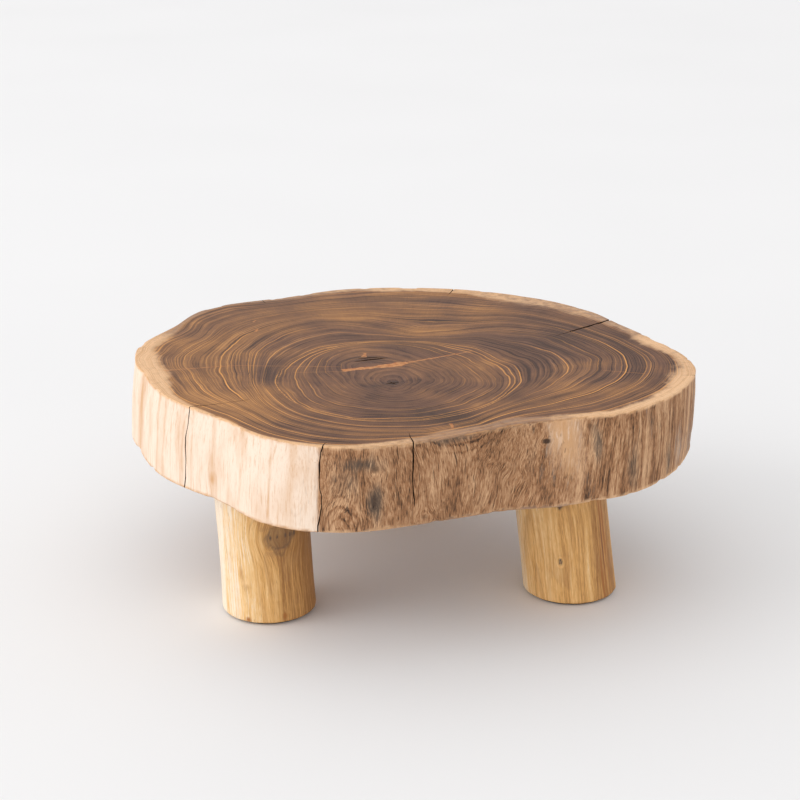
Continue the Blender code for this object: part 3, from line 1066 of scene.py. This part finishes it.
def leg_material():
    g = Graph(bpy.data.materials.new("leg_wood"))
    grain = g.attribute("grain", "Vector")
    layer = g.attribute("layer") + (g.noise(grain, 3.0, z=0.12) - 0.5) * 0.3
    streak = g.noise(grain, 1.0, 4.0, 0.65, z=0.030)
    fibre = g.noise(grain, 0.45, 3.0, 0.65, z=0.08)
    broad = g.noise(grain, 8.0, z=0.06)

    # The tone attribute carries the painted light and shade of the legs' flanks as well as their
    # brownness.
    tone = g.attribute("tone") + (broad - 0.5) * 0.9 + (streak - 0.5) * 1.25 + (fibre - 0.5) * 0.7
    colour = g.ramp(tone, (0.0, LEG_CREAM), (0.28, LEG_PALE), (0.58, LEG_GOLD), (1.0, LEG_BROWN))
    phase = layer.fraction()
    late = g.between(phase, 0.55, 0.95) * g.between(phase, 1.0, 0.96)
    colour = g.mix(late * g.between(broad, 0.35, 0.65, 0.08, 0.35), colour, LEG_LINE)
    pores = g.noise(grain, 0.35, 1.0, z=0.07)
    colour = g.tint(colour, LEG_LINE, pores, 0.60, 0.78, 0.6)
    stain = g.attribute("stain") + (fibre - 0.5) * 0.4
    colour = g.tint(colour, LEG_STAIN, stain, 0.12, 0.70)
    colour = g.tint(colour, LEG_KNOT, stain, 0.75, 1.15, 0.8)
    knot = g.attribute("knot") * g.between(fibre, 0.3, 0.6, 1.15, 0.8)
    colour = g.mix(knot.at_most(1.0), colour, LEG_KNOT)
    height = fibre * 0.07 + pores * -0.05 + streak * 0.08

    face_ring = abs(g.attribute("ring").fraction() - 0.5)
    face = g.tint(LEG_GOLD, LEG_LINE, face_ring, 0.28, 0.02)
    face = g.mix(g.between(g.noise(g.place(), 0.6), 0.4, 0.8, 0.0, 0.5), face, LEG_KNOT)
    return g.finish(g.mix(g.attribute("end"), colour, face), fibre * 0.25 + 0.46, height,
                    depth=1.0, specular=0.4)


def leg_rows(name):
    """Closed rows of one leg, up from its foot and down into the dowel's socket, and how its
    axis and its radius change with height."""
    node = "leg_" + name
    low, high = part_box(node)
    tree = cad_tree(node)
    guess = np.array([(low.x + high.x) / 2.0, (low.y + high.y) / 2.0])
    heights = np.linspace(low.z + MARGIN, high.z - MARGIN, 6)
    sections = [round_section(tree, guess, z) for z in heights]
    centres = np.array([s[0] for s in sections])
    lean = np.array([np.polyfit(heights, centres[:, i], 1) for i in (0, 1)])
    radii = np.polyfit(heights, [s[1] for s in sections], 2)
    turns = np.linspace(0.0, tau, LEG_COLUMNS, endpoint=False)

    # Height, share of the radius, and how far the edge is eased inwards.
    profile = [(low.z, share, FOOT_EASE) for share in (0.15, 0.4, 0.65, 0.85)]
    for a in np.linspace(0.0, pi / 2.0, 5):
        profile.append((low.z + FOOT_EASE * (1.0 - cos(a)), 1.0, FOOT_EASE * (1.0 - sin(a))))
    for z in np.linspace(low.z + FOOT_EASE, high.z - HEAD_EASE, LEG_LEVELS)[1:-1]:
        profile.append((z, 1.0, 0.0))
    for a in np.linspace(0.0, pi / 2.0, 4):
        profile.append((high.z - HEAD_EASE * (1.0 - sin(a)), 1.0, HEAD_EASE * (1.0 - cos(a))))
    rows = []
    for z, share, inset in profile:
        radius = np.polyval(radii, z)
        place = circle((0.0, 0.0), radius, z, turns) / MM
        shape = 0.35 * fractal(place * (1, 1, 0.3), 19.0, 3, 301)
        shape += 0.12 * fractal(place * (1, 1, 0.08), 2.2, 2, 311)
        reach = (radius + (shape - LEG_SUNK) * MM - inset) * share
        rows.append(circle(lean[:, 0] * z + lean[:, 1], reach, z, turns))

    dowel_low, dowel_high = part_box("dowel_" + name)
    socket = (dowel_high.x - dowel_low.x) / 2.0 + SOCKET_GAP
    floor = dowel_low.z - SOCKET_SPARE
    levels = ((0.5 * (socket + np.polyval(radii, high.z)), high.z), (socket, high.z),
              (socket, floor + 1.5 * MM), (0.2 * socket, floor))
    rows += [circle((dowel_low + dowel_high) / 2.0, r, z, turns) for r, z in levels]
    return rows, lean, radii


def build_leg(name, material):
    rows, lean, radii = leg_rows(name)
    points, faces = lathe(rows)
    mm = points / MM
    height = mm[:, 2]
    away = points[:, :2] - np.outer(points[:, 2], lean[:, 0]) - lean[:, 1]
    degrees, reach = polar(away / MM)
    radius = np.polyval(radii, points[:, 2]) / MM
    slide = parting(degrees, height, radius, LEG_KNOTS[name])
    slide += 0.9 * fractal(mm * (1, 1, 0.4), 14.0, 2, 321)
    turned = np.radians(degrees) + slide / radius
    grain = np.column_stack([heading(turned) * reach[:, None], height])
    grain[:, :2] += 60.0 * LEG_NAMES.index(name)    # so that no two legs have the same grain
    layer = 2.4 * fractal(grain * (1, 1, 0.10), 15.0, 2, 331)

    # A knot is a filled patch with a dark rim, and a pointed tail of dark grain below it.
    knot = patches(degrees, height, radius, LEG_KNOTS[name] + LEG_TICKS[name])
    wobble = 0.22 * fractal(mm, 3.5, 3, 351)
    tail_wobble = 0.22 * fractal(mm, 3.5, 3, 353)
    for row in LEG_KNOTS[name]:
        u, v = in_patch(degrees, height, radius, row)
        d = np.hypot(u, v)
        layer += 2.5 * np.exp(-d * d / 2.5)
        d += wobble
        tail = 0.8 * np.abs(u) + np.maximum(-v, 0.0) / 1.75 + tail_wobble
        tail += 9.0 * smoothstep(-1.0, 1.0, height - row[1])
        for mark in (smoothstep(1.2, 0.8, d), 1.6 * np.exp(-((d - 1.0) / 0.16) ** 2),
                     1.1 * np.exp(-((tail - 1.0) / 0.10) ** 2), 0.4 * smoothstep(1.0, 0.8, tail)):
            knot = np.maximum(knot, row[4] * mark)

    # Painted light and shade: the tone is paler on the leg's left flank and darker on its right, as a
    # lamp on the left would make it.
    brown, flank_shade = LEG_TONE_AND_FLANK_SHADE[name]
    mesh = new_mesh("branch_leg_" + name, points, faces)
    store(mesh, grain=grain, layer=layer, knot=knot,
          stain=patches(degrees, height, radius, LEG_STAINS[name]),
          end=smoothstep(1.6, 2.6, radius - reach),
          tone=brown + flank_shade * np.cos(np.radians(degrees + 10.0)),
          ring=reach / 2.6 + 0.4 * fractal(mm, 9.0, 2, 341))
    add_piece("branch_leg_" + name, mesh, "leg_" + name, (material,))


# -------------------- dowels and pads
def dowel_material():
    g = Graph(bpy.data.materials.new("dowel_beech"))
    streak = g.noise(g.place(), 0.8, 3.0, 0.6, z=0.08)
    flecks = g.between(g.noise(g.place(), 0.4, 1.0, z=0.3), 0.60, 0.72)
    colour = g.ramp(streak, (0.3, (0.46, 0.29, 0.16)), (0.7, (0.66, 0.46, 0.29)))
    colour = g.mix(flecks * 0.4, colour, (0.36, 0.20, 0.10))
    return g.finish(colour, 0.6, streak, depth=0.08, specular=0.4)


def pad_material():
    g = Graph(bpy.data.materials.new("pad_rubber"))
    grain = g.noise(g.place(), 0.5, 3.0, 0.6)
    speck = g.between(g.noise(g.place(), 0.9, 1.0), 0.60, 0.70)
    colour = g.mix(speck * 0.5, (0.035, 0.032, 0.030), (0.110, 0.100, 0.092))
    return g.finish(colour, grain * 0.2 + 0.75, grain, depth=0.12, specular=0.3)


def build_pad(name, material):
    """A thin disc with a rolled rim that is a little worn here and there."""
    node = "foot_pad_" + name
    low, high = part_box(node)
    middle = (low + high) / 2.0
    radius = (high.x - low.x) / 2.0
    roll = (high.z - low.z) / 2.0
    turns = np.linspace(0.0, tau, 120, endpoint=False)
    wear = np.minimum(0.15 * fractal(circle((0.0, 0.0), 20.0, 0.0, turns), 6.0, 2, 401), 0.0) * MM
    levels = [(share * (radius - roll), low.z) for share in (0.2, 0.5, 0.8)]
    for a in np.linspace(-pi / 2.0, pi / 2.0, 9):
        levels.append((radius - roll * (1.0 - cos(a)), middle.z + roll * sin(a)))
    levels += [(share * (radius - roll), high.z) for share in (0.8, 0.5, 0.2)]
    rows = [circle(middle, r + wear * (r > 0.9 * radius), z, turns) for r, z in levels]
    mesh = new_mesh("grip_pad_" + name, *lathe(rows))
    add_piece("grip_pad_" + name, mesh, node, (material,), sharp_degrees=60.0)


def build_dowels_and_pads():
    beech, rubber = dowel_material(), pad_material()
    for name in LEG_NAMES:
        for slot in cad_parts["dowel_" + name].material_slots:
            slot.material = beech
        build_pad(name, rubber)


# -------------------- floor, light and camera
FLOOR_HALF = 40.0               # metres from the middle of the floor to its sides
WORLD_LEVEL = 1.235             # the world's brightness before it is tilted
WORLD_TILT = (-0.32, -0.06, -0.40)  # what it gains towards +X, +Y and +Z
KEY_PLACE = (-4.6, -1.2, 2.1)   # metres
KEY_SIZE = 3.6
KEY_WATTS = 62.0
KEY_COLOUR = (1.0, 0.995, 0.985)
CAMERA_PLACE = (-6.04, -1050.07, 448.5)     # mm
CAMERA_TILT = 71.3              # degrees up from looking straight down
CAMERA_LENS = 92.14             # mm
SENSOR_WIDTH = 36.0


def add_floor():
    corners = [(-1, -1, 0), (1, -1, 0), (1, 1, 0), (-1, 1, 0)]
    mesh = bpy.data.meshes.new("floor")
    mesh.from_pydata((np.array(corners) * FLOOR_HALF).tolist(), [], [(0, 1, 2, 3)])
    g = Graph(bpy.data.materials.new("paper_sweep"))
    tooth = g.noise(g.place(), 0.9)
    colour = g.mix(g.noise(g.place(), 260.0, 1.0), (0.86, 0.855, 0.86), (0.89, 0.885, 0.89))
    mesh.materials.append(g.finish(colour, 0.9, tooth, depth=0.01, specular=0.1))
    floor = add_object("floor", mesh)


def add_lights():
    """A white studio: brighter towards the horizon and the left, with one big soft light."""
    g = Graph(bpy.data.worlds.new("studio"))
    direction = g.node("ShaderNodeTexCoord", {}, "Generated")
    strength = g.dot(direction, WORLD_TILT) + WORLD_LEVEL
    g.wire("Background", {"Color": (1.0, 1.0, 1.0), "Strength": strength})
    bpy.context.scene.world = g.owner

    lamp = bpy.data.lights.new("key", "AREA")
    lamp.shape = "DISK"
    lamp.size = KEY_SIZE
    lamp.energy = KEY_WATTS
    lamp.color = KEY_COLOUR
    key = add_object("key", lamp)
    key.location = KEY_PLACE
    key.rotation_euler = (-Vector(KEY_PLACE)).to_track_quat("-Z", "Y").to_euler()


def add_camera():
    lens = bpy.data.cameras.new("camera")
    lens.sensor_width = SENSOR_WIDTH
    lens.lens = CAMERA_LENS
    camera = add_object("camera", lens)
    camera.location = Vector(CAMERA_PLACE) * MM
    camera.rotation_euler = (radians(CAMERA_TILT), 0.0, 0.0)
    bpy.context.scene.camera = camera


add_camera()
add_lights()
add_floor()
build_slab()
leg_wood = leg_material()
for leg_name in LEG_NAMES:
    build_leg(leg_name, leg_wood)
build_dowels_and_pads()
bpy.context.scene.view_settings.view_transform = "Standard"
